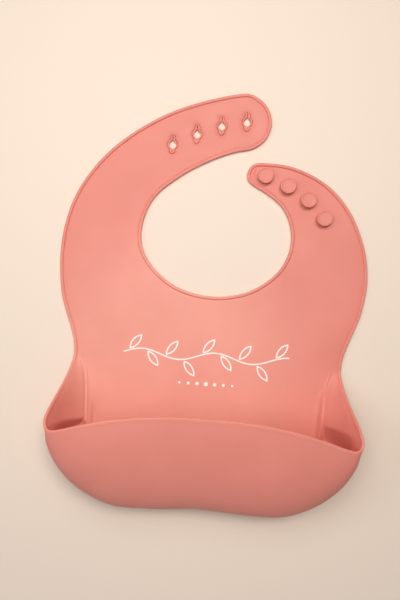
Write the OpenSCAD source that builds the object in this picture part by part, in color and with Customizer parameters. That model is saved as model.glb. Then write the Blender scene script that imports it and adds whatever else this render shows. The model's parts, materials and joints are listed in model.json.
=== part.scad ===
// Silicone baby bib with a crumb catcher and a buttoned neck strap.
// It lies on its back: +Z is the front, +Y points from the catcher to the neck.
// The origin is the centre of its footprint, on the surface that it lies on.

/* [Overall] */
// Overall width across the chest panel
bib_width = 227; // [205:1:250]
// Overall length from the strap's end to the catcher's bottom
bib_length = 302; // [275:1:330]
// How far the catcher's lip stands above the back of the panel
catcher_depth = 50; // [42:1:58]

/* [Sheet] */
// Thickness of the silicone sheet
sheet_t = 1.6; // [1.4:0.1:1.8]
// Height of the bead that runs along every free edge
bead_h = 2.6; // [2.2:0.1:3]
// Width of that bead
bead_w = 2.6; // [2:0.1:3.2]

/* [Buttons] */
// Diameter of a button's head
button_d = 11.8; // [10.4:0.1:12.6]
// Diameter of a button's neck
button_neck_d = 6; // [5:0.1:7]
// Height of a button above the sheet
button_h = 4.8; // [4:0.1:6]
// Diameter of the round part of a buttonhole
hole_d = 5.4; // [4.8:0.1:5.8]
// How far a buttonhole's slit reaches above its centre
slit_up = 6; // [5.4:0.1:6.8]
// How far it reaches below its centre
slit_down = 4.9; // [4.4:0.1:5.6]
// Width of the slit
slit_w = 0.9; // [0.7:0.1:1.4]
// Width of the thick rim around the buttonhole
eyelet_rim = 1.7; // [1.2:0.1:2]
// How far that rim stands above the sheet
eyelet_rise = 0.5; // [0.3:0.1:1]

/* [Print] */
// Thickness of the printed ink
ink_t = 0.25; // [0.15:0.05:0.4]
// Width of the printed lines
line_w = 1; // [0.8:0.1:1.4]

/* [Hidden] */
$fn = 48;

silicone = [0.93, 0.55, 0.49];
silicone_deep = [0.88, 0.49, 0.45];
silicone_light = [0.95, 0.60, 0.54];
ink = [0.98, 0.96, 0.94];

// The outlines below are drawn for this nominal size, and scaled to the one above.
nominal = [227, 302, 50];
// The middle of the footprint in the drawn outlines, which becomes the origin.
drawn_middle_y = 0.8;
scale_x = bib_width / nominal.x;
scale_y = bib_length / nominal.y;
scale_z = catcher_depth / nominal.z;
mid_z = sheet_t / 2;
span_steps = 6;

// Fold lines: the sheet bends about them, halfway through its thickness.
shoulder = place([0, 18]);
button_fold = place([0, 44]);
neck_centre = place([0, 46]);
hole_fold_turn = 325;
nose_r = mid_z - 0.05;
nose_gap = 0.35;
bead_gap = 1.6;
ridge_h = 0.35;
far = 400;

// The free edge, from the right side of the waist up and round to the left side.
flank = [[98.6, -48], [99.1, -40], [101.8, -30], [107.3, -15], [110.9, -3]];
right_edge = concat(flank, [
    [113.5, 16], [112, 34], [107.8, 49], [99.3, 67], [86.3, 82.7], [70, 93.8], [50, 100.6]
]);
tip_centre = [28.5, 92.4];
tip_r = 9.1;
tip_cap = [for (a = [85, 130, 180, 225]) tip_centre + tip_r * [cos(a), sin(a)]];
neckline = [
    [36, 78.3], [48.5, 68], [55, 51.5], [53.5, 34], [44, 18.5], [25, 5.5], [0, 0.8],
    [-25, 5.5], [-44, 18.5], [-53.8, 34], [-54.6, 51.5], [-47, 71], [-30, 86.8], [-11, 98.8],
    [8, 107.4]
];
end_centre = [14.3, 130.5];
end_r = 21;
end_cap = [for (a = [-68, -34, 0, 34, 66, 94]) end_centre + end_r * [cos(a), sin(a)]];
left_edge = concat([
    [-16, 143.8], [-44, 131.8], [-71, 113.5], [-91, 93], [-105, 69.5], [-112, 45],
    [-113.5, 20]
], [for (i = [len(flank) - 1 : -1 : 0]) [-flank[i].x, flank[i].y]]);
free_knots = concat(right_edge, tip_cap, neckline, end_cap, left_edge);
neck_bottom_knot = len(right_edge) + len(tip_cap) + 6;

// The catcher, from the middle of its bottom (first row) to the waist (last but one).
// The last row only sets the direction in which the walls meet the panel.
base_knots = [
    [0, -127, 0], [28, -127, 0], [52, -126, 0], [68, -122.5, 0], [78, -116, 0],
    [83, -107, 0], [85, -98, 0], [85.5, -89, 0], [86, -79, 0], [87, -68, 0],
    [89, -57, 0], [92, -47, 0], [95, -37, 0]
];
bulge_knots = [
    [0, -147, 21], [32, -149, 21], [58, -148.6, 21], [77, -141.4, 22], [90.6, -131, 24],
    [99.6, -118.5, 27], [104.4, -105, 28], [104.6, -91.5, 25.5], [101.8, -79.5, 18.5],
    [98.5, -68, 9.5], [96.5, -57, 2.4], [95.4, -47.5, 0], [97.5, -38, 2.4]
];
rim_knots = [
    [0, -79, 50], [30, -79.8, 50], [58, -83.4, 49.4], [80, -88.8, 48], [94, -93, 46.6],
    [101.5, -94, 45.6], [105.5, -90, 43.8], [105, -83.5, 39.5], [103, -76, 31.5],
    [101, -66.5, 17.5], [99.6, -57, 5.5], [98.6, -48, 0], [99.4, -39, 5.5]
];
waist_knot = 11;
wall_knot = 2;
wall_gap = 0.02;
bulge_v = 0.4;
floor_top_v = 0.39;
wall_foot_v = 0.41;
lip_v = 0.955;
// Between the crease and the waist, each side is a gusset that is nearly flat.
crease_from = 5.4;
crease_to = 6.4;
flatness = 0.75;
foot_v = 0.13;
bulge_share = 0.62;

// Where the buttons and the buttonholes are.
button_at = [for (p = [[33, 91.9], [50.1, 85.4], [65.7, 76.2], [78.2, 63.5]]) place(p)];
eyelet_at = [for (p = [[-36.7, 110.3], [-19.2, 119.2], [-1.4, 126.4], [17, 130.5]]) place(p)];

// The printed sprig.
sprig_from = place([-62, -44]);
sprig_to = place([60, -44]);
sprig_wave = 3.2;
leaf_pitch = 13.5 * scale_x;
leaf_l = 14;
leaf_w = 5.6;
dots_at = place([0, -64]);
dots_pitch = 6.5;

function place(p) = [p.x * scale_x, (p.y - drawn_middle_y) * scale_y];

// A smooth curve through the knots, at the position k counted in knots.
function smooth(p, k) =
    let (i = min(floor(k), len(p) - 2), t = k - i)
    let (a = p[max(i - 1, 0)], b = p[i], c = p[i + 1], d = p[min(i + 2, len(p) - 1)])
    0.5 * (2 * b + (c - a) * t + (2 * a - 5 * b + 4 * c - d) * t * t
        + (3 * b - a - 3 * c + d) * t * t * t);

function curve(p, from, to) =
    [for (j = [from * span_steps : to * span_steps]) place(smooth(p, j / span_steps))];

// A path moved to its left by w.
function unit(v) = v / norm(v);
function moved_left(path, w) = [
    for (i = [0 : len(path) - 1])
        let (d = unit(path[min(i + 1, len(path) - 1)] - path[max(i - 1, 0)]))
        path[i] + w * [-d.y, d.x]
];

// The catcher's knots, mirrored for the left half: k runs from -waist_knot to waist_knot.
function mirrored(p) = concat(
    [for (i = [len(p) - 1 : -1 : 1]) [-p[i].x, p[i].y, p[i].z]], p);
function knot(p, k) =
    let (q = smooth(mirrored(p), k + len(p) - 1))
    concat(place(q), [q.z * scale_z + mid_z]);

// The middle of the catcher's wall: v runs from the panel (0) past the bulge to the rim (1).
function bezier(a, b, c, d, t) =
    a * pow(1 - t, 3) + 3 * b * t * pow(1 - t, 2) + 3 * c * t * t * (1 - t) + d * pow(t, 3);
function bowed(b, e, r, v) =
    v <= bulge_v
        ? let (a = 90 * v / bulge_v)
            [b.x + (e.x - b.x) * sin(a), b.y + (e.y - b.y) * sin(a), b.z + (e.z - b.z) * (1 - cos(a))]
        : bezier(e, [e.x, e.y, (e.z + r.z) / 2],
            [(e.x + r.x) / 2, (e.y + r.y) / 2, r.z - 0.12 * (r.z - e.z)], r,
            (v - bulge_v) / (1 - bulge_v));
function rise(x, from, to) =
    let (t = min(1, max(0, (x - from) / (to - from)))) t * t * (3 - 2 * t);
function wall(k, v) =
    let (b = knot(base_knots, k), r = knot(rim_knots, k))
    let (f = lookup(v, [[0, 0], [bulge_v, bulge_share], [1, 1]]))
    let (flat = flatness * rise(abs(k), crease_from, crease_to) * rise(v, 0, foot_v))
    (1 - flat) * bowed(b, knot(bulge_knots, k), r, v) + flat * (b + (r - b) * f);
function wall_normal(k, v) =
    let (s = 0.02, v0 = max(v - s, 0), v1 = min(v + s, 1))
    unit(cross(wall(k + s, v) - wall(k - s, v), wall(k, v1) - wall(k, v0)));
function half_t(v) = v <= lip_v ? sheet_t / 2 : bead_h / 2;

// Towards the waist the bead moves over to the inner side, to stand on the panel's plane.
function bead_shift(k, v) =
    v <= lip_v ? 0 : (bead_h - sheet_t) / 2 * min(1, max(0, (abs(k) - 8) / (waist_knot - 8)));

// The sampling along the catcher, shared with the panel so that their edges meet.
side_steps = 36;
middle_steps = 10;
side_ks = [
    for (j = [0 : side_steps]) wall_knot + j * (waist_knot - wall_knot) / side_steps
];
left_ks = [for (j = [side_steps : -1 : 0]) -side_ks[j]];
middle_ks = [for (j = [-middle_steps : middle_steps]) j * wall_knot / middle_steps];
free_wall_ks = [for (k = middle_ks) k * (wall_knot - wall_gap) / wall_knot];
floor_vs = [for (j = [0 : 8]) j * floor_top_v / 8];
wall_vs = [for (j = [0 : 8]) wall_foot_v + j * (lip_v - wall_foot_v) / 8];
lip_vs = [lip_v, (1 + lip_v) / 2, 1];
side_vs = concat(
    [for (j = [0 : 9]) j * bulge_v / 9],
    [for (j = [1 : 8]) bulge_v + j * (lip_v - bulge_v) / 8],
    [lip_v + 0.005, (1 + lip_v) / 2, 1]
);

base_line = [
    for (k = concat(left_ks, [for (j = [1 : 2 * middle_steps - 1]) middle_ks[j]], side_ks))
        let (b = knot(base_knots, k)) [b.x, b.y]
];
free_edge = curve(free_knots, 0, len(free_knots) - 1);
right_half_edge = curve(free_knots, 0, neck_bottom_knot);
left_half_edge = curve(free_knots, neck_bottom_knot, len(free_knots) - 1);
belly = place([0, -60]);

// Flat stock with a bead along its free edge.
module beaded(edge, rest) {
    difference() {
        linear_extrude(bead_h) polygon(concat(edge, rest));
        translate([0, 0, sheet_t])
            linear_extrude(bead_h) polygon(concat(moved_left(edge, bead_w), rest));
    }
}

module whole_sheet() {
    // the recess reaches past the base line, where the panel has no bead
    difference() {
        linear_extrude(bead_h) polygon(concat(free_edge, base_line));
        translate([0, 0, sheet_t])
            linear_extrude(bead_h)
                polygon(concat(moved_left(free_edge, bead_w), [
                    place([-98, -52]), place([-98, -200]), place([98, -200]), place([98, -52])
                ]));
    }
}

// A half of the sheet, above the waist.
module strap_sheet(side) {
    beaded(side > 0 ? right_half_edge : left_half_edge, [belly]);
}

// The space on the far side of a fold: it starts at the fold and lies to the fold's +Y side.
module beyond(at, angle) {
    translate([at.x, at.y, -1]) rotate(angle) translate([-far, 0, 0]) cube([2 * far, far, bead_h + 2]);
}

// A round bar along a fold, halfway through the sheet.
module fold_bar(at, angle, r) {
    translate([at.x, at.y, mid_z]) rotate(angle) translate([-far, 0, 0])
        rotate([0, 90, 0]) cylinder(r = r, h = 2 * far);
}

// Room for the beads on both sides of a fold.
module bead_notch(at, angle) {
    translate([at.x, at.y, sheet_t]) rotate(angle)
        translate([-far, -bead_gap, 0]) cube([2 * far, 2 * bead_gap, bead_h]);
}

// The part of a sheet that a fold carries, with a round nose along the fold.
module carried(at, angle) {
    difference() {
        union() {
            intersection() {
                children();
                beyond(at, angle);
            }
            intersection() {
                children();
                fold_bar(at, angle, nose_r);
            }
        }
        bead_notch(at, angle);
    }
}

// The part of a sheet that stays behind a fold, hollowed for the nose.
module left_behind(at, angle) {
    difference() {
        children();
        beyond(at, angle);
        fold_bar(at, angle, nose_r + nose_gap);
        bead_notch(at, angle);
    }
}

module front_panel() {
    color(silicone) left_behind(shoulder, 0) whole_sheet();
}

module hole_strap() {
    color(silicone) left_behind(neck_centre, hole_fold_turn)
        carried(shoulder, 0) strap_sheet(-1);
}

// The strap's end, with an opening for each eyelet.
module hole_strap_tip() {
    color(silicone) difference() {
        carried(neck_centre, hole_fold_turn) strap_sheet(-1);
        for (p = eyelet_at)
            translate([p.x, p.y, -1]) eyelet_blank(bead_h + 2);
    }
}

module button_strap() {
    color(silicone) left_behind(button_fold, 0) carried(shoulder, 0) strap_sheet(1);
}

module button_strap_tip() {
    color(silicone) {
        carried(button_fold, 0) strap_sheet(1);
        grip_ridge();
    }
}

// A low crescent on the button strap, between its tip and the first button.
module grip_ridge() {
    r = button_d / 2 + 3;
    translate([button_at[0].x, button_at[0].y, sheet_t - 0.2]) intersection() {
        difference() {
            cylinder(r = r + 0.4, h = ridge_h + 0.2);
            translate([0, 0, -1]) cylinder(r = r - 0.4, h = ridge_h + 2);
        }
        rotate(190) linear_extrude(ridge_h + 0.2) polygon([[0, 0], [2 * r, -1.4 * r], [2 * r, 1.4 * r]]);
    }
}

// Outer shape of an eyelet: a round middle with a lobe around each end of the slit.
module eyelet_blank(h) {
    lobe_r = slit_w / 2 + eyelet_rim;
    cylinder(r = hole_d / 2 + eyelet_rim, h = h);
    for (y = [slit_up - slit_w / 2, slit_w / 2 - slit_down])
        translate([0, y, 0]) cylinder(r = lobe_r, h = h);
    translate([-lobe_r, slit_w / 2 - slit_down, 0]) cube([2 * lobe_r, slit_up + slit_down - slit_w, h]);
}

module eyelet(i) {
    color(silicone_light) translate(concat(eyelet_at[i], [0])) difference() {
        eyelet_blank(sheet_t + eyelet_rise);
        translate([0, 0, -1]) {
            cylinder(d = hole_d, h = bead_h + 3);
            translate([-slit_w / 2, -slit_down, 0]) cube([slit_w, slit_down + slit_up, bead_h + 3]);
        }
    }
}

// A button: a flared foot, a neck, and a head with a shallow dish in its top.
module button(i) {
    head_h = button_h / 2;
    foot_h = 0.5;
    bevel = 0.3;
    dish = 0.3;
    r = button_d / 2;
    n = button_neck_d / 2;
    color(silicone_light) translate(concat(button_at[i], [sheet_t])) rotate_extrude() polygon([
        [0, 0], [n + foot_h, 0], [n, foot_h], [n, button_h - head_h],
        [r - bevel, button_h - head_h], [r, button_h - head_h + bevel], [r, button_h - bevel],
        [r - bevel, button_h], [r - 4 * bevel, button_h], [r - 4 * bevel - dish, button_h - dish],
        [0, button_h - dish]
    ]);
}

// A closed shell of the catcher's wall between two rows of k and of v.
module shell(ks, vs, half = 0) {
    n = len(ks);
    m = len(vs);
    function skin(side) = [
        for (k = ks) for (v = vs)
            let (h = half > 0 ? half : half_t(v))
            wall(k, v) + (side * h - bead_shift(k, v)) * wall_normal(k, v)
    ];
    function at(side, i, j) = side * n * m + i * m + j;
    function quad(a, b, c, d) = [[a, b, c], [a, c, d]];
    faces = concat(
        [for (i = [0 : n - 2]) for (j = [0 : m - 2])
            each quad(at(0, i, j), at(0, i + 1, j), at(0, i + 1, j + 1), at(0, i, j + 1))],
        [for (i = [0 : n - 2]) for (j = [0 : m - 2])
            each quad(at(1, i, j), at(1, i, j + 1), at(1, i + 1, j + 1), at(1, i + 1, j))],
        [for (i = [0 : n - 2]) each quad(at(0, i, 0), at(1, i, 0), at(1, i + 1, 0), at(0, i + 1, 0))],
        [for (i = [0 : n - 2])
            each quad(at(0, i, m - 1), at(0, i + 1, m - 1), at(1, i + 1, m - 1), at(1, i, m - 1))],
        [for (j = [0 : m - 2]) each quad(at(0, 0, j), at(0, 0, j + 1), at(1, 0, j + 1), at(1, 0, j))],
        [for (j = [0 : m - 2])
            each quad(at(0, n - 1, j), at(1, n - 1, j), at(1, n - 1, j + 1), at(0, n - 1, j + 1))]
    );
    polyhedron(points = concat(skin(-1), skin(1)), faces = faces);
}

module catcher_floor() {
    color(silicone_deep) shell(middle_ks, floor_vs);
}

module catcher_wall() {
    color(silicone_deep) shell(free_wall_ks, wall_vs, sheet_t / 2);
}

module catcher_lip() {
    color(silicone_light) shell(free_wall_ks, lip_vs, bead_h / 2);
}

module right_side_wall() {
    color(silicone_deep) shell(side_ks, side_vs);
}

module left_side_wall() {
    color(silicone_deep) shell(left_ks, side_vs);
}

// The print: a wavy stem with leaves drawn in outline, and a row of dots under it.
function stem_y(x) = sprig_from.y + sprig_wave * sin(360 * (x - sprig_from.x) / (4 * leaf_pitch));

module leaf(grow) {
    bow = (leaf_l * leaf_l / leaf_w + leaf_w) / 4;
    intersection_for (s = [-1, 1])
        translate([leaf_l / 2, s * (bow - leaf_w / 2)]) circle(r = bow + grow, $fn = 96);
}

module leaf_line() {
    linear_extrude(ink_t) difference() {
        leaf(0);
        leaf(-line_w);
    }
}

module printed_sprig() {
    xs = [for (i = [0 : 60]) sprig_from.x + i * (sprig_to.x - sprig_from.x) / 60];
    color(ink) translate([0, 0, sheet_t]) {
        linear_extrude(ink_t) polygon(concat(
            [for (x = xs) [x, stem_y(x) - line_w / 2]],
            [for (i = [60 : -1 : 0]) [xs[i], stem_y(xs[i]) + line_w / 2]]
        ));
        for (i = [0 : 8]) {
            x = sprig_from.x + (i + 0.3) * leaf_pitch;
            side = i % 2 == 0 ? 1 : -1;
            translate([x, stem_y(x) + side * line_w, 0]) rotate(side * 52) leaf_line();
        }
    }
}

module printed_dots() {
    color(ink) translate([dots_at.x, dots_at.y, sheet_t])
        for (i = [-3 : 3])
            translate([i * dots_pitch, 0, 0]) cylinder(r = 1.5 - 0.2 * abs(i), h = ink_t);
}

front_panel();
catcher_floor();
catcher_wall();
catcher_lip();
left_side_wall();
right_side_wall();
hole_strap();
hole_strap_tip();
eyelet(0);  // eyelet_1
eyelet(1);  // eyelet_2
eyelet(2);  // eyelet_3
eyelet(3);  // eyelet_4
button_strap();
button_strap_tip();
button(0);  // button_1
button(1);  // button_2
button(2);  // button_3
button(3);  // button_4
printed_sprig();
printed_dots();
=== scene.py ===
import json
import math

import bmesh
import bpy
import numpy as np
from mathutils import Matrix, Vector
from mathutils.geometry import delaunay_2d_cdt


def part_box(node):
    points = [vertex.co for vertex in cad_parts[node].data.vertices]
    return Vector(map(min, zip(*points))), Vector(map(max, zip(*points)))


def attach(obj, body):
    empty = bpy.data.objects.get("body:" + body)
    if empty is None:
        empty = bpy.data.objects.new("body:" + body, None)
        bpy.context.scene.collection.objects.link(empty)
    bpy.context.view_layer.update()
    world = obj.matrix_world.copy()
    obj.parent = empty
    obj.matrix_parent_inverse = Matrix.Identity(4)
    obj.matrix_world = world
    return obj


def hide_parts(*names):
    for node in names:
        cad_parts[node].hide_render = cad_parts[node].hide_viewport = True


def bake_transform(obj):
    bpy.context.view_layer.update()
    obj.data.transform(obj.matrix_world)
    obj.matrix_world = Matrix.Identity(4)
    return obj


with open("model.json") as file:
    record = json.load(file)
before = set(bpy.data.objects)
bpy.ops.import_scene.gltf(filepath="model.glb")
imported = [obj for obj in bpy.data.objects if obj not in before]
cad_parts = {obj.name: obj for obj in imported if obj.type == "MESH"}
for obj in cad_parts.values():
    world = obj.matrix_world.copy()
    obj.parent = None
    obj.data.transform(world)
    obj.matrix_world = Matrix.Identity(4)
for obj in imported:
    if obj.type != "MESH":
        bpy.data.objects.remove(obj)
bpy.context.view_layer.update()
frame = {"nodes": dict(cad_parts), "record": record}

# Lengths are in millimetres in the row frame, until build() turns them into Blender's metres.
MM = 0.001
# The sheet's thickness, and the height of its middle.
SHEET = 1.6
MID = SHEET / 2

# ---------------------------------------------------------------- outlines
# The drawn outlines have their origin this far below the footprint's centre.
DRAWN_MIDDLE = np.array([0, 0.8])

FLANK = [(98.6, -48), (99.1, -40), (101.8, -30), (107.3, -15), (110.9, -3)]
RIGHT_EDGE = [
    (113.5, 16), (112, 34), (107.8, 49), (99.3, 67), (86.3, 82.7), (70, 93.8), (50, 100.6),
]
NECKLINE = [
    (36, 78.3), (48.5, 68), (55, 51.5), (53.5, 34), (44, 18.5), (25, 5.5), (0, 0.8),
    (-25, 5.5), (-44, 18.5), (-53.8, 34), (-54.6, 51.5), (-47, 71), (-30, 86.8), (-11, 98.8),
    (8, 107.4),
]
LEFT_EDGE = [
    (-16, 143.8), (-44, 131.8), (-71, 113.5), (-91, 93), (-105, 69.5), (-112, 45), (-113.5, 20),
]

# The catcher's knots, from the middle of its bottom to the waist and one beyond.
BASE = [
    (0, -127, 0), (28, -127, 0), (52, -126, 0), (68, -122.5, 0), (78, -116, 0),
    (83, -107, 0), (85, -98, 0), (85.5, -89, 0), (86, -79, 0), (87, -68, 0),
    (89, -57, 0), (92, -47, 0), (95, -37, 0),
]
BULGE = [
    (0, -147, 21), (32, -149, 21), (58, -148.6, 21), (77, -141.4, 22), (90.6, -131, 24),
    (99.6, -118.5, 27), (104.4, -105, 28), (104.6, -91.5, 25.5), (101.8, -79.5, 18.5),
    (98.5, -68, 9.5), (96.5, -57, 2.4), (95.4, -47.5, 0), (97.5, -38, 2.4),
]
RIM = [
    (0, -79, 50), (30, -79.8, 50), (58, -83.4, 49.4), (80, -88.8, 48), (94, -93, 46.6),
    (101.5, -94, 45.6), (105.5, -90, 43.8), (105, -83.5, 39.5), (103, -76, 31.5),
    (101, -66.5, 17.5), (99.6, -57, 5.5), (98.6, -48, 0), (99.4, -39, 5.5),
]
WAIST_KNOT = 11


def arc(centre, radius, angles):
    """Points on a circle, at these angles in degrees."""
    return [(centre[0] + radius * math.cos(math.radians(a)),
             centre[1] + radius * math.sin(math.radians(a))) for a in angles]


def unit(v):
    return v / np.linalg.norm(v, axis=-1, keepdims=True)


def smooth(knots, k):
    """A Catmull-Rom curve through the knots, at the positions k counted in knots."""
    p = np.asarray(knots, float)
    i = np.clip(np.floor(k).astype(int), 0, len(p) - 2)
    t = (k - i)[:, None]
    a, b, c, d = p[np.maximum(i - 1, 0)], p[i], p[i + 1], p[np.minimum(i + 2, len(p) - 1)]
    return 0.5 * (2 * b + (c - a) * t + (2 * a - 5 * b + 4 * c - d) * t ** 2
                  + (3 * b - a - 3 * c + d) * t ** 3)


def run_length(path):
    """Each point's distance along the path."""
    return np.concatenate([[0], np.cumsum(np.linalg.norm(np.diff(path, axis=0), axis=1))])


def evenly(path, step):
    """The path with points about step apart."""
    run = run_length(path)
    at = np.linspace(0, run[-1], max(2, round(run[-1] / step)) + 1)
    return np.stack([np.interp(at, run, path[:, i]) for i in range(path.shape[1])], axis=1)


def relaxed(path, rounds):
    """The path with its small corners eased."""
    path = path.copy()
    for _ in range(rounds):
        path[1:-1] = (path[:-2] + 2 * path[1:-1] + path[2:]) / 4
    return path


# The round ends of the button strap and of the hole strap: centre, radius and angles.
BUTTON_TIP = (28.5, 92.4), 9.1, (85, 130, 180, 225)
HOLE_END = (14.3, 130.5), 21, (-68, -34, 0, 34, 66, 94)
EDGE_STEP = 1.6


def free_edge():
    """The free edge, from the right side of the waist up and round to the left side."""
    left_flank = [(-x, y) for x, y in reversed(FLANK)]
    knots = (FLANK + RIGHT_EDGE + arc(*BUTTON_TIP) + NECKLINE + arc(*HOLE_END)
             + LEFT_EDGE + left_flank)
    path = smooth(knots, np.linspace(0, len(knots) - 1, 24 * len(knots)))
    return relaxed(evenly(path, EDGE_STEP), 3) - DRAWN_MIDDLE


EDGE = free_edge()
# At each point of the edge, the direction into the sheet. At the waist it follows the cut there.
INWARD = unit(np.gradient(EDGE, axis=0))[:, ::-1] * [-1, 1]
WAIST_BASE = np.array(BASE[WAIST_KNOT][:2]) - DRAWN_MIDDLE
INWARD[0] = unit(WAIST_BASE - EDGE[0])
INWARD[-1] = unit(WAIST_BASE * [-1, 1] - EDGE[-1])


def nearest(x, y):
    """The number of the edge's point that is nearest to a place."""
    return int(np.argmin(np.linalg.norm(EDGE - [x, y], axis=1)))


# ---------------------------------------------------------------- bead
# The edge's cross-section from the outermost point inwards: distance from the edge, then the
# height over the sheet's middle on the panel's front and back. A fine groove runs along the
# bead's foot. The catcher's rim is plainer, and thickens a little towards its edge instead.
BEAD_IN = np.array(
    [0, 0.0, 0.1, 0.35, 0.8, 1.3, 1.75, 2.1, 2.3, 2.4, 2.5, 2.65, 2.85, 3.05, 3.3])
FRONT = np.array(
    [0.3, 0.8, 1.2, 1.5, 1.64, 1.66, 1.6, 1.42, 1.12, 0.84, 0.62, 0.56, 0.6, 0.76, MID])
BACK = np.array([0.3, -0.2, -0.5, -0.7] + [-MID] * 11)
RIM_FRONT = np.array(
    [0, 0.3, 0.6, 0.84, 0.98, 1.02, 1.02, 1.0, 0.97, 0.95, 0.93, 0.9, 0.87, 0.83, MID])
RIM_BACK = -np.array(
    [0, 0.3, 0.55, 0.75, 0.86, 0.89, 0.9, 0.9, 0.89, 0.88, 0.87, 0.85, 0.83, 0.81, MID])
# The whole section, from the back's inner end round the edge to the front's.
SECTION_IN = np.concatenate([BEAD_IN[:0:-1], BEAD_IN])
SECTION_FLAT = np.concatenate([BACK[:0:-1], FRONT])
BEAD_END = BEAD_IN[-1]


class Net:
    """Vertices and faces gathered from several patches."""

    def __init__(self):
        self.points = []
        self.faces = []

    def add(self, points, faces):
        start = len(self.points)
        self.points += [tuple(p) for p in points]
        self.faces += [tuple(start + i for i in f) for f in faces]

    def grid(self, rows, closed=False):
        """rows is an array of rows of points; closed joins the last row to the first."""
        n, m = rows.shape[:2]
        faces = []
        for i in range(n if closed else n - 1):
            for j in range(m - 1):
                a, b = i * m + j, (i + 1) % n * m + j
                faces.append((a, b, b + 1, a + 1))
        self.add(rows.reshape(-1, 3), faces)


def bead(first, last):
    """The bead along the free edge between two of its points, as rows of cross-sections."""
    rows = EDGE[first:last + 1, None] + INWARD[first:last + 1, None] * SECTION_IN[None, :, None]
    height = np.broadcast_to(MID + SECTION_FLAT, rows.shape[:2])
    return np.concatenate([rows, height[..., None]], axis=2)


SPLIT_STEP = 3.0


def split(i, j):
    """Where two pieces meet: a curve across the sheet from edge point i to edge point j."""
    a, d = EDGE[i] + BEAD_END * INWARD[i], EDGE[j] + BEAD_END * INWARD[j]
    width = np.linalg.norm(d - a)
    b, c = a + width / 3 * INWARD[i], d + width / 3 * INWARD[j]
    t = np.linspace(0, 1, max(3, round(width / SPLIT_STEP)))[:, None]
    return a * (1 - t) ** 3 + 3 * b * t * (1 - t) ** 2 + 3 * c * t ** 2 * (1 - t) + d * t ** 3


def cap(net, i, j):
    """Closes a piece along its split from edge point i to edge point j."""
    across = split(i, j)
    net.grid(np.stack([np.column_stack([across, level(z)(across)]) for z in (0, SHEET)]))
    for end in (i, j):
        section = bead(end, end)[0]
        net.add(section, [tuple(range(len(section)))])


def inside(points, loop):
    """Which points lie inside a closed loop."""
    x, y = points[:, 0][:, None], points[:, 1][:, None]
    a, b = loop, np.roll(loop, -1, axis=0)
    crosses = (a[:, 1] > y) != (b[:, 1] > y)
    climb = np.where(b[:, 1] == a[:, 1], 1e-12, b[:, 1] - a[:, 1])
    at = a[:, 0] + (y - a[:, 1]) * (b[:, 0] - a[:, 0]) / climb
    return (crosses & (x < at)).sum(axis=1) % 2 == 1


# The fill's triangles are this long, and its points keep this share of that from the outline.
FILL_STEP, FILL_CLEAR = 3.4, 0.62
# A triangle's height, as a share of its side.
TALL = 0.866


def filled(net, loop, holes, height, step=FILL_STEP):
    """Fills a flat outline with near-even triangles at a height, which may vary."""
    low, high = loop.min(axis=0), loop.max(axis=0)
    xs, ys = np.arange(low[0], high[0], step), np.arange(low[1], high[1], step * TALL)
    gx, gy = np.meshgrid(xs, ys)
    gx = gx + (np.arange(len(ys)) % 2 * step / 2)[:, None]
    grid = np.column_stack([gx.ravel(), gy.ravel()])
    keep = inside(grid, loop)
    for hole in holes:
        keep &= ~inside(grid, hole)
    grid = grid[keep]
    loops = [loop] + list(holes)
    border = np.concatenate(loops)
    near = np.min(np.linalg.norm(grid[:, None] - border[None], axis=2), axis=1)
    grid = grid[near > step * FILL_CLEAR]
    edges, start = [], 0
    for one in loops:
        n = len(one)
        edges += [(start + i, start + (i + 1) % n) for i in range(n)]
        start += n
    every = np.concatenate([border, grid])
    found = delaunay_2d_cdt([Vector(p) for p in every], edges, [], 0, 1e-7)
    points = np.array([tuple(p) for p in found[0]])
    faces = np.array([f for f in found[2]])
    middle = points[faces].mean(axis=1)
    keep = inside(middle, loop)
    for hole in holes:
        keep &= ~inside(middle, hole)
    net.add(np.column_stack([points, height(points)]), faces[keep])


def level(z):
    """A height for filled() that is the same everywhere."""
    return lambda points: np.full(len(points), float(z))


# ---------------------------------------------------------------- catcher
def mirrored(knots):
    """The knots of both sides, from the left waist to the right."""
    return [(-x, y, z) for x, y, z in reversed(knots[1:])] + knots


def catcher_curves(k):
    """The catcher's base, bulge and rim at the positions k, which run from waist to waist."""
    at = k + len(BASE) - 1
    drop = np.array([0, DRAWN_MIDDLE[1], -MID])
    return [smooth(mirrored(knots), at) - drop for knots in (BASE, BULGE, RIM)]


# How far under the rim its curve's last control point lies, as a share of the way to the bulge.
RIM_PULL = 0.12


def catcher_wall(k, steps=120):
    """The middle of the wall at each k, from the base past the bulge to the rim."""
    base, bulge, rim = (c[:, None] for c in catcher_curves(k))
    turn = np.linspace(0, math.pi / 2, steps)[None, :, None]
    lower = base + (bulge - base) * np.sin(turn)
    lower[..., 2:] = base[..., 2:] + (bulge - base)[..., 2:] * (1 - np.cos(turn))
    t = np.linspace(0, 1, steps)[None, 1:, None]
    second = np.concatenate([bulge[..., :2], (bulge[..., 2:] + rim[..., 2:]) / 2], axis=2)
    third = np.concatenate([(bulge[..., :2] + rim[..., :2]) / 2,
                            rim[..., 2:] - RIM_PULL * (rim[..., 2:] - bulge[..., 2:])], axis=2)
    upper = (bulge * (1 - t) ** 3 + 3 * second * t * (1 - t) ** 2
             + 3 * third * t ** 2 * (1 - t) + rim * t ** 3)
    return np.concatenate([lower, upper], axis=1)


# Each side of the catcher is a flat gusset. It starts from a fold that stands over the panel,
# with a thin rib on it, and it ends at a crease, below which the trough's end bulges outwards.
# The two sides differ a little, so some values are given as (left, right). The stretches along
# the base in which something starts or fades out are given as two values of y.
FOLD_HEIGHT, FOLD_STARTS, FOLD_ENDS = 4.6, (-50, -86), (-98, -112)
# How wide the fold's two flanks are: up from the panel, and down into the trough.
PANEL_FLANK = 17.0, 14.0
TROUGH_FLANK = 5.0
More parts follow.
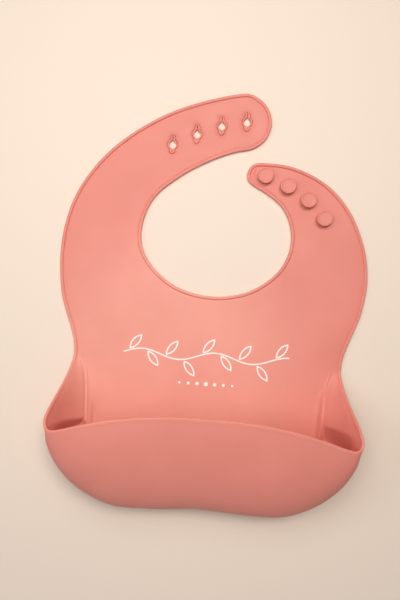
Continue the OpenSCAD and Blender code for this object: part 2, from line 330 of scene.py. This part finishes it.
# The crease's y beside the base, how far it climbs between two values of x, and its width.
CREASE = -94.0, -87.8
CREASE_CLIMB = 3.0, 1.6
CREASE_FROM, CREASE_TO = 85, 99
CREASE_WIDTH = 3.5, 9.0
# How flat the gusset is, and the knots of the catcher between which it starts.
FLATNESS, FLAT_FROM, FLAT_TO = 0.75, 4.5, 5.2
RIB, RIB_WIDTH, RIB_FROM, RIB_STARTS = 0.42, 0.75, 4, (-47, -58)
# The left fold has a second, short one beside it.
SECOND_FOLD, SECOND_FROM, SECOND_AT, SECOND_REACH = 1.5, 3.4, 4.0, 5.5
SECOND_STARTS = -80, -96
# Beside the right fold the panel dips into a narrow valley.
VALLEY, VALLEY_FROM, VALLEY_AT, VALLEY_REACH = 1.6, 0.5, 2.6, 8.2
VALLEY_STARTS = -56, -76
# Both fade out under the lip.
BESIDE_ENDS = -106, -116
# Rows of points beside the fold, at these distances from the catcher's base.
BESIDE = np.array([0.4, 0.8, 1.3, 1.9, 2.6, 3.4, 3.9, 4.4, 5.1, 6.1, 7.4, 9.0, 11.0])


def rise(x, start, end):
    """0 before start, 1 after end, and a smooth S between them."""
    t = np.clip((x - start) / (end - start), 0, 1)
    return t * t * (3 - 2 * t)


def within(y, starts, ends):
    """1 between two stretches of y, fading in over the first and out over the second."""
    return rise(-y, -starts[0], -starts[1]) * rise(y, ends[1], ends[0])


def lift(points):
    """How far the sheet is lifted: it climbs to the folds, which run along the catcher's base."""
    x, y = np.abs(points[..., 0]), points[..., 1]
    fold_x, fold_y, _ = np.array(BASE[5:]).T
    inside_fold = np.interp(y, fold_y - DRAWN_MIDDLE[1], fold_x) - x
    height = FOLD_HEIGHT * within(y, FOLD_STARTS, FOLD_ENDS)
    flank = np.where(points[..., 0] < 0, *PANEL_FLANK)
    return height * np.clip(1 - inside_fold / flank, 0, 1) ** 2


def gusset(k, points):
    """How much of a side's gusset there is at a place, and how high the rib on its fold is."""
    x, y = np.abs(points[..., 0]), points[..., 1]
    crease, climb, width = (np.where(k < 0, *of) for of in (CREASE, CREASE_CLIMB, CREASE_WIDTH))
    crease = crease + climb * rise(x, CREASE_FROM, CREASE_TO)
    there = rise(np.abs(k), FLAT_FROM, FLAT_TO) * np.clip(1 + (y - crease) / width, 0, 1)
    rib = RIB * rise(np.abs(k), RIB_FROM, FLAT_TO)
    return there, rib * rise(-y, -RIB_STARTS[0], -RIB_STARTS[1])


def catcher_middle(k, rows):
    """The middle of the catcher's sheet on a grid, and each point's distance from the base."""
    middle, left = [], []
    for wall in catcher_wall(k):
        run = run_length(wall[::-1])
        at = np.concatenate([BEAD_IN, np.linspace(BEAD_END, run[-1], rows)[1:]])
        middle.append(np.stack([np.interp(at, run, wall[::-1, i]) for i in range(3)], axis=1))
        left.append(run[-1] - at)
    middle, left = np.array(middle), np.array(left)
    rim, base = middle[:, :1], middle[:, -1:]
    up = np.array([0, 0, 1]) * lift(base)[..., None]
    straight = rim + (base + up - rim) * (1 - left / left[:, :1])[..., None]
    there = gusset(k[:, None], straight)[0]
    near_base = 1 - rise(left, 0, TROUGH_FLANK)[..., None]
    flatter = FLATNESS * (straight - middle) * there[..., None]
    return middle + flatter * (1 - near_base) + up * near_base, left


# The catcher's grid: from waist to waist, and from the bead's foot to the base.
COLUMNS, ROWS = 220, 34
# The knot from which the rim turns into the panel's bead, towards the waist.
BEAD_FROM = 9.2


def hollow(across, depth, at, reach):
    """A hollow along the fold: it drops to its depth close to at, and climbs back over reach."""
    drop = rise(BESIDE, at[0], at[1])
    return depth * drop * rise(-BESIDE, -at[1] - reach, -at[1]) * across


def catcher_skins():
    """The catcher in one grid: outer skin up to the rim, inner skin, and the panel beside it."""
    k = np.linspace(-WAIST_KNOT, WAIST_KNOT, COLUMNS + 1)
    middle, from_base = catcher_middle(k, ROWS)
    along = np.gradient(middle, axis=0)
    inwards = np.gradient(middle, axis=1)
    inwards[:, 0] = inwards[:, 2]
    inwards[:, 1] = inwards[:, 2]
    front = unit(np.cross(along, inwards))
    front[[0, -1]] = (0, 0, 1)
    front[:, -1] = (0, 0, 1)
    beaded = rise(np.abs(k), BEAD_FROM, WAIST_KNOT)[:, None]
    plain = np.full((len(k), ROWS - 1), MID)
    inner = np.concatenate([beaded * FRONT + (1 - beaded) * RIM_FRONT, plain], axis=1)
    outer = np.concatenate([beaded * BACK + (1 - beaded) * RIM_BACK, -plain], axis=1)
    rib = gusset(k[:, None], middle[:, -1:])[1]
    inner = inner + rib * np.exp(-(from_base / RIB_WIDTH) ** 2)
    inner_skin = middle + inner[..., None] * front
    outer_skin = middle + outer[..., None] * front
    base = middle[:, -1, :2]
    step = unit(np.gradient(base, axis=0))
    away = np.stack([-step[:, 1], step[:, 0]], axis=1)
    beside = base[:, None] + BESIDE[None, :, None] * away[:, None]
    y, k = base[:, 1:], k[:, None]
    valley = hollow((k > 0) * within(y, VALLEY_STARTS, BESIDE_ENDS), VALLEY,
                    (VALLEY_FROM, VALLEY_AT), VALLEY_REACH)
    second = hollow((k < 0) * within(y, SECOND_STARTS, BESIDE_ENDS), SECOND_FOLD,
                    (SECOND_FROM, SECOND_AT), SECOND_REACH)
    low = np.maximum(lift(beside) - valley, 0)
    high = low + SHEET + rib * np.exp(-(BESIDE / RIB_WIDTH) ** 2) - second
    low, high = (np.concatenate([beside, z[..., None]], axis=2) for z in (low, high))
    return np.concatenate([low[:, ::-1], outer_skin[:, :0:-1], inner_skin, high], axis=1)


# ---------------------------------------------------------------- pieces
def build(name, net, sharp_angle=62):
    """Makes a closed, smoothly shaded object of a net in millimetres."""
    mesh = bpy.data.meshes.new(name)
    mesh.from_pydata([(x * MM, y * MM, z * MM) for x, y, z in net.points], [], net.faces)
    work = bmesh.new()
    work.from_mesh(mesh)
    bmesh.ops.remove_doubles(work, verts=work.verts, dist=0.02 * MM)
    bmesh.ops.dissolve_degenerate(work, edges=work.edges, dist=0.005 * MM)
    bmesh.ops.recalc_face_normals(work, faces=work.faces)
    for face in work.faces:
        face.smooth = True
    for edge in work.edges:
        if edge.is_manifold and edge.calc_face_angle() > math.radians(sharp_angle):
            edge.smooth = False
    work.to_mesh(mesh)
    work.free()
    piece = bpy.data.objects.new(name, mesh)
    bpy.context.scene.collection.objects.link(piece)
    return piece


# Where the pieces meet. Each is a pair of points on the free edge, and every one lies clear of
# the stretches that bend.
RIGHT_SHOULDER = (nearest(112.4, 4), nearest(26, 5))
LEFT_SHOULDER = (nearest(-112.4, 4), nearest(-26, 5))
RIGHT_ARM = (nearest(111.6, 35.5), nearest(53.6, 35.5))
LEFT_ARM = (nearest(-103, 73), nearest(-51, 61))


def body_skin():
    """The front panel with the catcher, in one skin."""
    net = Net()
    skins = catcher_skins()
    net.grid(skins)
    right = bead(0, RIGHT_SHOULDER[0])
    neck = bead(RIGHT_SHOULDER[1], LEFT_SHOULDER[1])
    left = bead(LEFT_SHOULDER[0], len(EDGE) - 1)
    for rows in (right, neck, left):
        net.grid(rows)
    cap(net, *RIGHT_SHOULDER)
    cap(net, *LEFT_SHOULDER)
    around = np.concatenate([
        right[:, -1, :2], split(*RIGHT_SHOULDER)[1:-1], neck[:, -1, :2],
        split(*LEFT_SHOULDER)[::-1][1:-1], left[:-1, -1, :2]])
    # The rest of the outline runs along the row of points that lies furthest onto the panel.
    flat = skins[..., :2]
    foot = (skins.shape[1] - 1) // 2 + len(BEAD_IN) - 1
    loop = np.concatenate([around, flat[0, foot:-1], flat[:, -1], flat[-1, -2:foot:-1]])
    filled(net, loop, [], lambda points: SHEET + lift(points))
    filled(net, loop, [], lift)
    return build("bib_body", net)


# A low crescent for the fingertips, between the button strap's tip and its first button.
GRIP_R, GRIP_WIDTH, GRIP_HEIGHT = 9.0, 0.9, 0.6
GRIP_FROM, GRIP_TO, GRIP_FADE = 105, 245, 20
# Between these distances from the bead's foot it climbs to its full height.
GRIP_CLEAR = 0.02, 0.9
GRIP_STEP = 0.7


def grip(points, loop, button_at):
    """How high the crescent stands over the sheet."""
    off = points - button_at
    angle = np.degrees(np.arctan2(off[:, 1], off[:, 0])) % 360
    across = (np.linalg.norm(off, axis=1) - GRIP_R) / GRIP_WIDTH
    ends = rise(angle, GRIP_FROM, GRIP_FROM + GRIP_FADE)
    ends = ends * rise(-angle, -GRIP_TO, -GRIP_TO + GRIP_FADE)
    from_bead = np.min(np.linalg.norm(points[:, None] - loop[None], axis=2), axis=1)
    return GRIP_HEIGHT * np.exp(-across ** 2) * ends * rise(from_bead, *GRIP_CLEAR)


def strap_skin(name, first, second, eyelets=(), grip_at=None):
    """A stretch of strap between two splits, or a strap's end if second is None."""
    net = Net()
    if second is None:
        rows = bead(*sorted(first))
        net.grid(rows)
        start, end = sorted(first)
        loop = np.concatenate([rows[:, -1, :2], split(end, start)[1:-1]])
        cap(net, *first)
    else:
        near_side, far_side = sorted(first + second)[:2], sorted(first + second)[2:]
        one, two = bead(*near_side), bead(*far_side)
        net.grid(one)
        net.grid(two)
        loop = np.concatenate([
            one[:, -1, :2], split(near_side[1], far_side[0])[1:-1],
            two[:, -1, :2], split(far_side[1], near_side[0])[1:-1]])
        cap(net, *first)
        cap(net, *second)
    rings = [eyelet_rings(centre) for centre in eyelets]
    for ring in rings:
        net.grid(ring, closed=True)
    front, step = level(SHEET), FILL_STEP
    if grip_at is not None:
        front, step = lambda points: SHEET + grip(points, loop, grip_at), GRIP_STEP
    filled(net, loop, [ring[:, -1, :2] for ring in rings], front, step)
    filled(net, loop, [ring[:, 0, :2] for ring in rings], level(0))
    return build(name, net)


# ---------------------------------------------------------------- eyelets
HOLE_R = 2.5
# The hole comes to a point, this many degrees across, at its top and bottom.
POINT_UP, POINT_DOWN = 44, 24
# A slit runs on from each point to a round end: how far out that lies, and its radius. The
# upper slit narrows to SLIT_BACK at the strap's back.
SLIT_UP, SLIT_DOWN = 5.6, 4.4
SLIT_END_UP, SLIT_END_DOWN, SLIT_BACK = 0.46, 0.34, 0.1
# The collar is round, with a lobe around each slit: how far out its middle lies, and its radius.
COLLAR_R, COLLAR_FILLET = 3.75, 0.15
LOBE_UP, LOBE_DOWN = 5.3, 4.5
LOBE_R_UP, LOBE_R_DOWN = 1.85, 2.05
# The collar's cross-section: the share of the way from the hole to its foot, and the height.
# Past the foot the share counts on in millimetres.
ACROSS = np.array(
    [0.12, 0, 0, 0.04, 0.12, 0.24, 0.4, 0.7, 0.86, 0.95, 1.0, 1.06, 1.16, 1.3, 1.42, 1.56])
COLLAR = np.array(
    [0, 0.12, 0.5, 1.4, 1.72, 1.9, 1.98, 2.02, 1.96, 1.8, 1.44, 1.06, 0.94, 1.06, 1.48, SHEET])
# How much of the back's narrower slit there is at each of these heights.
BACK_SHARE = np.array([1, 1, 0.15] + [0] * 13)
# The spokes on one side of a slit, in degrees from its middle: first as shares of its width.
SLIT_SPOKES = np.array([0, 0.25, 0.5, 0.72, 0.88, 0.99, 1.08])
OTHER_SPOKES = np.concatenate([np.arange(8, 40, 4.0), np.arange(42, 90, 8.0)])


def larger(a, b, fillet):
    """The larger of two radii, with the corner between them rounded."""
    return 0.5 * (a + b + np.sqrt((a - b) ** 2 + fillet ** 2))


def round_end(off, at, radius):
    """How far a circle, centred at a distance up the spoke off = 0, reaches along each spoke."""
    room = radius ** 2 - (at * np.sin(off)) ** 2
    return np.where(room > 0, at * np.cos(off) + np.sqrt(np.maximum(room, 0)), 0)


def eyelet_rings(centre):
    """The collar of a slit buttonhole, as rows of cross-sections around its centre."""
    spokes = []
    for upward, at, end in ((90, SLIT_UP, SLIT_END_UP), (270, SLIT_DOWN, SLIT_END_DOWN)):
        half = np.concatenate([SLIT_SPOKES * math.degrees(math.asin(end / at)), OTHER_SPOKES])
        spokes.append(upward + np.concatenate([-half[:0:-1], half]))
    angles = np.concatenate(spokes)
    up = np.sin(np.radians(angles)) > 0
    off = np.radians(np.abs(angles - np.where(up, 90, 270)))
    point = np.radians(np.where(up, POINT_UP, POINT_DOWN))
    hole = HOLE_R / np.cos(np.maximum(point - off, 0))
    at = np.where(up, SLIT_UP, SLIT_DOWN)
    hole, back = (
        np.maximum(hole, round_end(off, at, np.where(up, end, SLIT_END_DOWN)))
        for end in (SLIT_END_UP, SLIT_BACK))
    lobe = np.where(up, LOBE_UP, LOBE_DOWN)
    lobe_r = np.where(up, LOBE_R_UP, LOBE_R_DOWN)
    straight = np.minimum(lobe_r / np.maximum(np.sin(off), 1e-6), lobe / np.cos(off))
    foot = larger(COLLAR_R, np.maximum(round_end(off, lobe, lobe_r), straight), COLLAR_FILLET)
    edge = hole[:, None] + (back - hole)[:, None] * BACK_SHARE
    across = edge + (foot[:, None] - edge) * np.minimum(ACROSS, 1)
    across += np.maximum(ACROSS - 1, 0)
    spoke = np.column_stack([np.cos(np.radians(angles)), np.sin(np.radians(angles))])
    flat = centre + across[..., None] * spoke[:, None]
    height = np.broadcast_to(COLLAR, flat.shape[:2])
    return np.concatenate([flat, height[..., None]], axis=2)


# ---------------------------------------------------------------- buttons
# Radius and height over the sheet, from the middle of the dished top to the flared foot.
BUTTON = [
    (2.2, 4.3), (4.0, 4.3), (4.3, 4.34), (4.65, 4.62), (4.95, 4.76), (5.3, 4.78), (5.65, 4.66),
    (5.84, 4.42), (5.9, 4.05), (5.9, 3.2), (5.84, 2.8), (5.6, 2.5), (5.1, 2.4), (3.7, 2.36),
    (3.2, 2.15), (3.0, 1.7), (3.0, 0.9), (3.12, 0.45), (3.45, 0.15), (4.0, 0.02), (4.3, -0.08),
    (4.3, -0.4),
]


def button(name):
    """One mushroom-shaped button, turned about its axis."""
    low, high = (np.array(c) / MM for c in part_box(name))
    middle = (low + high) / 2
    turns = np.radians(np.arange(0, 360, 6))
    profile = np.array(BUTTON)
    rows = np.stack([
        middle[0] + profile[None, :, 0] * np.cos(turns)[:, None],
        middle[1] + profile[None, :, 0] * np.sin(turns)[:, None],
        low[2] + np.broadcast_to(profile[:, 1], (len(turns), len(profile)))], axis=2)
    net = Net()
    net.grid(rows, closed=True)
    net.add(rows[:, 0], [tuple(range(len(turns)))])
    net.add(rows[:, -1], [tuple(range(len(turns)))])
    return build(name + "_skin", net, sharp_angle=80)


# ---------------------------------------------------------------- materials
def srgb(*levels):
    """A colour given as it is seen, from 0 to 255, in Blender's linear values."""
    c = np.array(levels) / 255
    linear = np.where(c <= 0.04045, c / 12.92, ((c + 0.055) / 1.055) ** 2.4)
    return (*linear, 1)


def material(name, roughness, speculars):
    """A new material, with its nodes, links and shader."""
    m = bpy.data.materials.new(name)
    m.use_nodes = True
    shader = m.node_tree.nodes["Principled BSDF"]
    shader.inputs["Roughness"].default_value = roughness
    shader.inputs["Specular IOR Level"].default_value = speculars
    return m, m.node_tree.nodes, m.node_tree.links, shader


def noise(nodes, links, scale, detail):
    """Noise that stays on the piece, at a scale of so many cells a metre."""
    place = nodes.new("ShaderNodeTexCoord")
    n = nodes.new("ShaderNodeTexNoise")
    n.inputs["Scale"].default_value = scale
    n.inputs["Detail"].default_value = detail
    links.new(place.outputs["Object"], n.inputs["Vector"])
    return n


def ramp(nodes, links, source, stops):
    """A colour ramp of (position, colour) stops."""
    r = nodes.new("ShaderNodeValToRGB")
    while len(r.color_ramp.elements) < len(stops):
        r.color_ramp.elements.new(0.5)
    for element, (at, colour) in zip(r.color_ramp.elements, stops):
        element.position = at
        element.color = colour
    links.new(source, r.inputs["Fac"])
    return r


def grey(value):
    return (value, value, value, 1)


def bump(nodes, links, shader, sources):
    """Stacks bumps of (source, strength, distance in metres) on the shader."""
    last = None
    for source, strength, distance in sources:
        b = nodes.new("ShaderNodeBump")
        b.inputs["Strength"].default_value = strength
        b.inputs["Distance"].default_value = distance
        links.new(source, b.inputs["Height"])
        if last:
            links.new(last.outputs["Normal"], b.inputs["Normal"])
        last = b
    links.new(last.outputs["Normal"], shader.inputs["Normal"])


# A pool of light is painted onto the silicone: it is paler around a point on the panel, out to
# this reach, both in metres.
LIGHT_POOL_AT, LIGHT_POOL_REACH = (-0.030, -0.062, 0), (0.125, 0.125, 0.060)


def painted_light_pool(nodes, links):
    """1 in the middle of the pool of light painted on the panel, falling to 0 at its edge."""
    place = nodes.new("ShaderNodeTexCoord")
    moved = nodes.new("ShaderNodeVectorMath")
    moved.operation = "SUBTRACT"
    moved.inputs[1].default_value = LIGHT_POOL_AT
    links.new(place.outputs["Object"], moved.inputs[0])
    scaled = nodes.new("ShaderNodeVectorMath")
    scaled.operation = "DIVIDE"
    scaled.inputs[1].default_value = LIGHT_POOL_REACH
    links.new(moved.outputs["Vector"], scaled.inputs[0])
    ball = nodes.new("ShaderNodeTexGradient")
    ball.gradient_type = "SPHERICAL"
    links.new(scaled.outputs["Vector"], ball.inputs["Vector"])
    soft = ramp(nodes, links, ball.outputs["Fac"], [(0, grey(0)), (0.55, grey(1))])
    soft.color_ramp.interpolation = "EASE"
    return soft


def silicone():
    """Matte salmon silicone: faint mottling, a painted pool of light on the panel, a satin skin
    and a fine moulded texture.
    """
    m, nodes, links, shader = material("silicone", 0.5, 0.35)
    cloud = noise(nodes, links, scale=18, detail=4)
    plain = ramp(nodes, links, cloud.outputs["Fac"], [
        (0.3, srgb(218, 132, 118)), (0.5, srgb(222, 136, 122)), (0.7, srgb(226, 140, 126))])
    # The paler colours are painted light: a pool of light mixed in around the panel's middle.
    pale = ramp(nodes, links, cloud.outputs["Fac"], [
        (0.3, srgb(228, 151, 135)), (0.5, srgb(232, 155, 139)), (0.7, srgb(236, 159, 143))])
    mixed = nodes.new("ShaderNodeMix")
    mixed.data_type = "RGBA"
    links.new(painted_light_pool(nodes, links).outputs["Color"], mixed.inputs["Factor"])
    links.new(plain.outputs["Color"], mixed.inputs["A"])
    links.new(pale.outputs["Color"], mixed.inputs["B"])
    links.new(mixed.outputs["Result"], shader.inputs["Base Color"])
    patch = noise(nodes, links, scale=60, detail=5)
    gloss = ramp(nodes, links, patch.outputs["Fac"], [(0.3, grey(0.46)), (0.7, grey(0.58))])
    links.new(gloss.outputs["Color"], shader.inputs["Roughness"])
    fine = noise(nodes, links, scale=2600, detail=2)
    wave = noise(nodes, links, scale=45, detail=2)
    bump(nodes, links, shader, [
        (fine.outputs["Fac"], 0.12, 0.1 * MM), (wave.outputs["Fac"], 0.1, 0.6 * MM)])
    return m


def ink():
    """Matte white silicone ink with a slightly uneven coat."""
    m, nodes, links, shader = material("white_ink", 0.5, 0.4)
    cloud = noise(nodes, links, scale=420, detail=3)
    colour = ramp(nodes, links, cloud.outputs["Fac"], [
        (0.3, srgb(244, 236, 228)), (0.7, srgb(253, 248, 243))])
    links.new(colour.outputs["Color"], shader.inputs["Base Color"])
    fine = noise(nodes, links, scale=1500, detail=2)
    gloss = ramp(nodes, links, fine.outputs["Fac"], [(0.3, grey(0.42)), (0.7, grey(0.56))])
    links.new(gloss.outputs["Color"], shader.inputs["Roughness"])
    bump(nodes, links, shader, [(fine.outputs["Fac"], 0.15, 0.1 * MM)])
    return m


def paint(piece, m):
    piece.data.materials.clear()
    piece.data.materials.append(m)


# ---------------------------------------------------------------- assembly
MOUNTS = {mount["name"]: mount for mount in frame["record"]["mounts"]}


def bend(piece):
    """Bakes a strap's piece's placement into its mesh."""
    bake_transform(piece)


skin = silicone()

body = body_skin()
paint(body, skin)
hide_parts("front_panel", "catcher_floor", "catcher_wall", "catcher_lip",
            "left_side_wall", "right_side_wall")
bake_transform(body)

holes = [np.array(MOUNTS[f"buttonhole_{i}"]["pos_m"][:2]) / MM for i in range(1, 5)]
first_button = np.array(MOUNTS["button_head_1"]["pos_m"][:2]) / MM
straps = [
    ("hole_strap_skin", LEFT_SHOULDER, LEFT_ARM, (), "hole_strap_bend", ["hole_strap"]),
    ("hole_strap_tip_skin", LEFT_ARM, None, holes, "hole_strap_tip_bend",
     ["hole_strap_tip", "eyelet_1", "eyelet_2", "eyelet_3", "eyelet_4"]),
    ("button_strap_skin", RIGHT_SHOULDER, RIGHT_ARM, (), "button_strap_bend", ["button_strap"]),
    ("button_strap_tip_skin", RIGHT_ARM, None, (), "button_strap_tip_bend", ["button_strap_tip"]),
]
for name, first, second, eyelets, joint_name, nodes in straps:
    grip_at = first_button if name == "button_strap_tip_skin" else None
    strap = strap_skin(name, first, second, eyelets, grip_at)
    paint(strap, skin)
    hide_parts(*nodes)
    bend(strap)

for i in range(1, 5):
    stud = button(f"button_{i}")
    paint(stud, skin)
    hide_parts(f"button_{i}")
    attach(stud, "button_strap_tip")

white = ink()
for node in ("printed_sprig", "printed_dots"):
    paint(frame["nodes"][node], white)


# ---------------------------------------------------------------- stage
def floor():
    """A plain pale floor, just under the bib."""
    mesh = bpy.data.meshes.new("floor")
    reach, gap = 3.0, 0.2 * MM
    corners = [(-reach, -reach, 0), (reach, -reach, 0), (reach, reach, 0), (-reach, reach, 0)]
    mesh.from_pydata(corners, [], [(0, 1, 2, 3)])
    piece = bpy.data.objects.new("floor", mesh)
    bpy.context.scene.collection.objects.link(piece)
    piece.location.z = -gap
    m, nodes, links, shader = material("floor", 0.8, 0.2)
    shader.inputs["Base Color"].default_value = srgb(234, 220, 204)
    paint(piece, m)


def area_light(name, place, size, power, colour):
    """A square light that faces the bib's middle."""
    light = bpy.data.lights.new(name, "AREA")
    light.size = size
    light.energy = power
    light.color = colour
    lamp = bpy.data.objects.new(name, light)
    lamp.location = place
    lamp.rotation_euler = (-Vector(place)).to_track_quat("-Z", "Y").to_euler()
    bpy.context.scene.collection.objects.link(lamp)


def camera():
    """Straight above the bib, from close by, with the bib turned a little clockwise."""
    data = bpy.data.cameras.new("camera")
    eye = bpy.data.objects.new("camera", data)
    height = 0.400
    seen_length = 0.444
    data.angle = 2 * math.atan(seen_length / 2 / height)
    eye.location = (-0.0086, -0.0032, height)
    eye.rotation_euler = (0, 0, math.radians(4))
    bpy.context.scene.collection.objects.link(eye)
    bpy.context.scene.camera = eye


WARM = (1, 0.93, 0.9)
floor()
area_light("key", (0.42, 0.85, 2.0), 0.6, 16, WARM)
area_light("overhead", (-0.12, 0.02, 0.6), 0.35, 0.95, WARM)
area_light("upper", (-0.05, 0.2, 0.45), 0.3, 1.0, (1, 0.95, 0.9))
area_light("left_fill", (-1.2, 0.2, 0.9), 0.6, 3.2, (0.86, 0.93, 1))
area_light("cool_fill", (-0.9, -1.0, 0.26), 0.5, 1.1, (0.55, 0.6, 1))
world = bpy.data.worlds.new("world")
world.use_nodes = True
background = world.node_tree.nodes["Background"]
background.inputs["Color"].default_value = (*WARM, 1)
background.inputs["Strength"].default_value = 0.2
bpy.context.scene.world = world
bpy.context.scene.view_settings.view_transform = "Standard"
camera()
